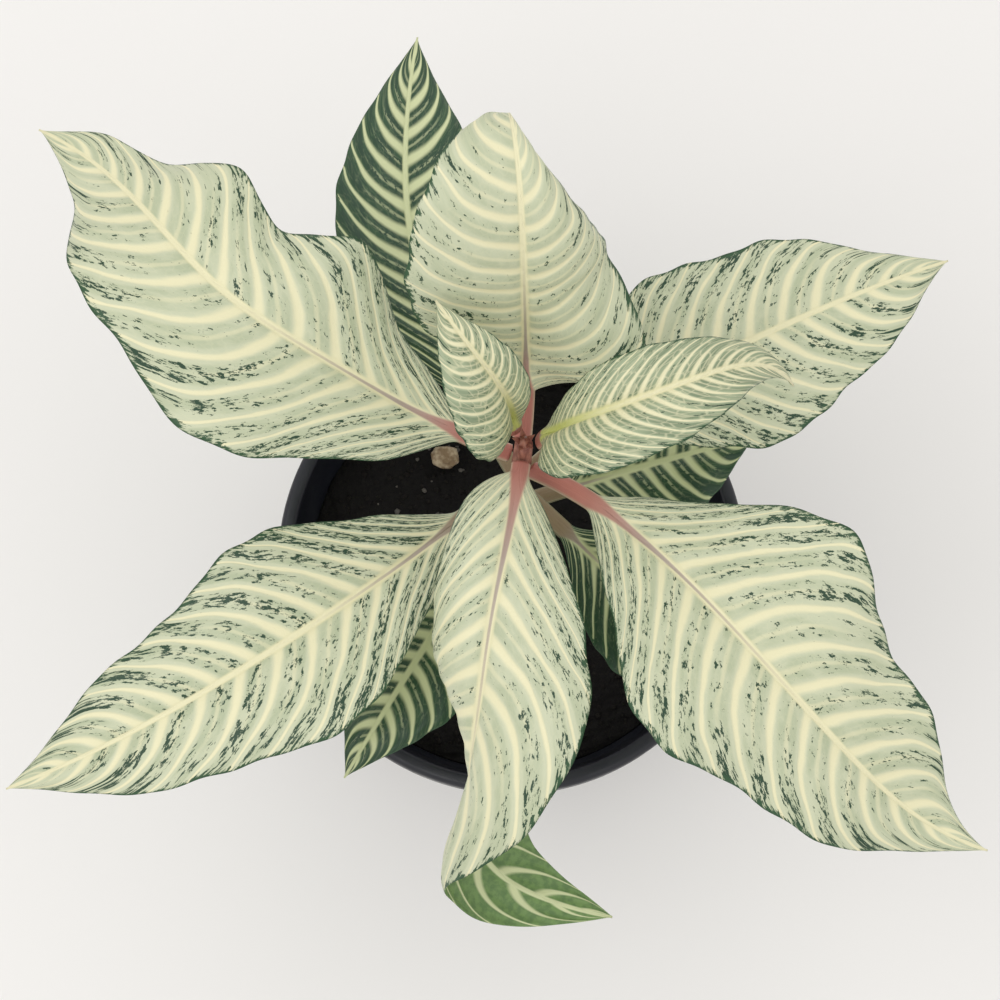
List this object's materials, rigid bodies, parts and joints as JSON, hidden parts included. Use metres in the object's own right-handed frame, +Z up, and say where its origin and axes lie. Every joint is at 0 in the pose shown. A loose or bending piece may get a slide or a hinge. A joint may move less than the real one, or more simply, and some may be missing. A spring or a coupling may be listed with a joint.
{
  "type": "potted zebra plant",
  "caption": "Variegated zebra plant with crossed pairs of cream-veined leaves on a short stem, standing in a round black nursery pot.",
  "frame": {"origin": "centre of the pot's flat foot, where it stands", "axes": "+Z up along the pot's axis, +X to the right and -Y to the front as usually viewed"},
  "size_m": [0.2715, 0.2681, 0.3131],
  "materials": {
    "pot_plastic": "black injection-moulded plastic, satin, faintly scuffed at the lip",
    "potting_soil": "dark damp peat with fibres and pale specks",
    "bark": "dry tan bark, rough",
    "stem_skin": "smooth pinkish red-brown skin",
    "young_leaf": "cream and lime with a fine green net, soft satin",
    "pale_leaf": "cream midrib and curved veins, pale grey-green between, dark green speckles and margin, satin",
    "green_leaf": "darker green between yellow-cream veins, satin"
  },
  "bodies": {
    "root": {"pot": "pot_plastic", "soil": "potting_soil", "bark_chip": "bark", "stem": "stem_skin", "shoot_tip": "stem_skin", "young_leaf_left": "young_leaf", "young_leaf_right": "young_leaf", "upper_leaf_back": "pale_leaf", "upper_leaf_front": "pale_leaf", "large_leaf_back_left": "pale_leaf", "large_leaf_front_right": "pale_leaf", "middle_leaf_back_right": "pale_leaf", "middle_leaf_front_left": "pale_leaf", "lower_leaf_back": "green_leaf", "lower_leaf_front_right": "green_leaf", "lowest_leaf_right": "green_leaf", "lowest_leaf_front_left": "green_leaf"}
  },
  "joints": []
}
